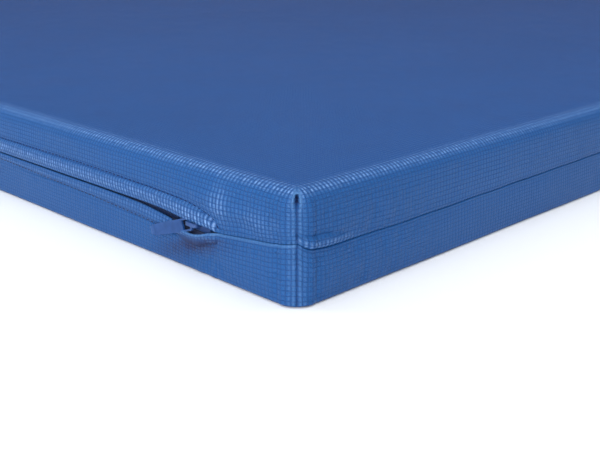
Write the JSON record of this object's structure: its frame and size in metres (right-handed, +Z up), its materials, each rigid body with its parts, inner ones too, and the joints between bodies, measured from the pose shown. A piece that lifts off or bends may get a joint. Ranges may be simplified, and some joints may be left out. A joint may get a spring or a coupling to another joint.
{
  "type": "folding gym mat",
  "caption": "Flat padded mat that folds in half over a sewn fabric hinge, with foam blocks in zipped, darted covers and webbing carry handles.",
  "frame": {"origin": "centre of the footprint on the underside, below the fold line", "axes": "+X along the length towards the right section, +Y across towards the back, +Z up; the zips are on the -Y side"},
  "size_m": [2.069, 1.0036, 0.0611],
  "materials": {
    "cover_sheet": "embossed coated cloth, satin",
    "foam": "open cell foam, matt",
    "zip_tape": "woven tape, matt",
    "zip_coil": "nylon, satin",
    "painted_slider": "satin paint",
    "painted_pull": "satin paint",
    "webbing": "woven webbing, matt"
  },
  "bodies": {
    "section_right": {"foam_core_right": "foam", "cover_top_right": "cover_sheet", "cover_bottom_right": "cover_sheet", "zip_tape_upper_right": "zip_tape", "zip_tape_lower_right": "zip_tape", "zip_coil_upper_right": "zip_coil", "zip_coil_lower_right": "zip_coil", "zip_bottom_stop_right": "painted_slider", "zip_top_stop_right": "painted_slider", "hinge_leaf_right": "cover_sheet", "handle_end_front_right": "webbing", "handle_end_back_right": "webbing"},
    "slider_right": {"zip_slider_right": "painted_slider"},
    "pull_right": {"zip_pull_right": "painted_pull"},
    "grip_right": {"handle_grip_right": "webbing"},
    "section_left": {"foam_core_left": "foam", "cover_top_left": "cover_sheet", "cover_bottom_left": "cover_sheet", "zip_tape_upper_left": "zip_tape", "zip_tape_lower_left": "zip_tape", "zip_coil_upper_left": "zip_coil", "zip_coil_lower_left": "zip_coil", "zip_bottom_stop_left": "painted_slider", "zip_top_stop_left": "painted_slider", "hinge_leaf_left": "cover_sheet", "handle_end_front_left": "webbing", "handle_end_back_left": "webbing"},
    "slider_left": {"zip_slider_left": "painted_slider"},
    "pull_left": {"zip_pull_left": "painted_pull"},
    "grip_left": {"handle_grip_left": "webbing"}
  },
  "joints": [
    {"name": "fold", "type": "hinge", "parent": "section_right", "child": "section_left", "pos_m": [0, 0, 0.0614], "axis": [0, 1, 0], "range_deg": [0, 180]},
    {"name": "zip_slide_right", "type": "slide", "parent": "section_right", "child": "slider_right", "axis": [-1, 0, 0], "range_m": [0, 0.85]},
    {"name": "pull_swing_right", "type": "hinge", "parent": "slider_right", "child": "pull_right", "pos_m": [0.9218, -0.5014, 0.0267], "axis": [-0.3256, 0, 0.9455], "range_deg": [0, 150]},
    {"name": "handle_swing_right", "type": "hinge", "parent": "section_right", "child": "grip_right", "pos_m": [1, 0, 0.031], "axis": [0, 1, 0], "range_deg": [-35, 35], "deforming": ["handle_end_front_right", "handle_end_back_right"]},
    {"name": "zip_slide_left", "type": "slide", "parent": "section_left", "child": "slider_left", "axis": [1, 0, 0], "range_m": [0, 0.85]},
    {"name": "pull_swing_left", "type": "hinge", "parent": "slider_left", "child": "pull_left", "pos_m": [-0.9218, -0.5014, 0.0267], "axis": [-0.3256, 0, -0.9455], "range_deg": [0, 150]},
    {"name": "handle_swing_left", "type": "hinge", "parent": "section_left", "child": "grip_left", "pos_m": [-1, 0, 0.031], "axis": [0, 1, 0], "range_deg": [-35, 35], "deforming": ["handle_end_front_left", "handle_end_back_left"]}
  ]
}
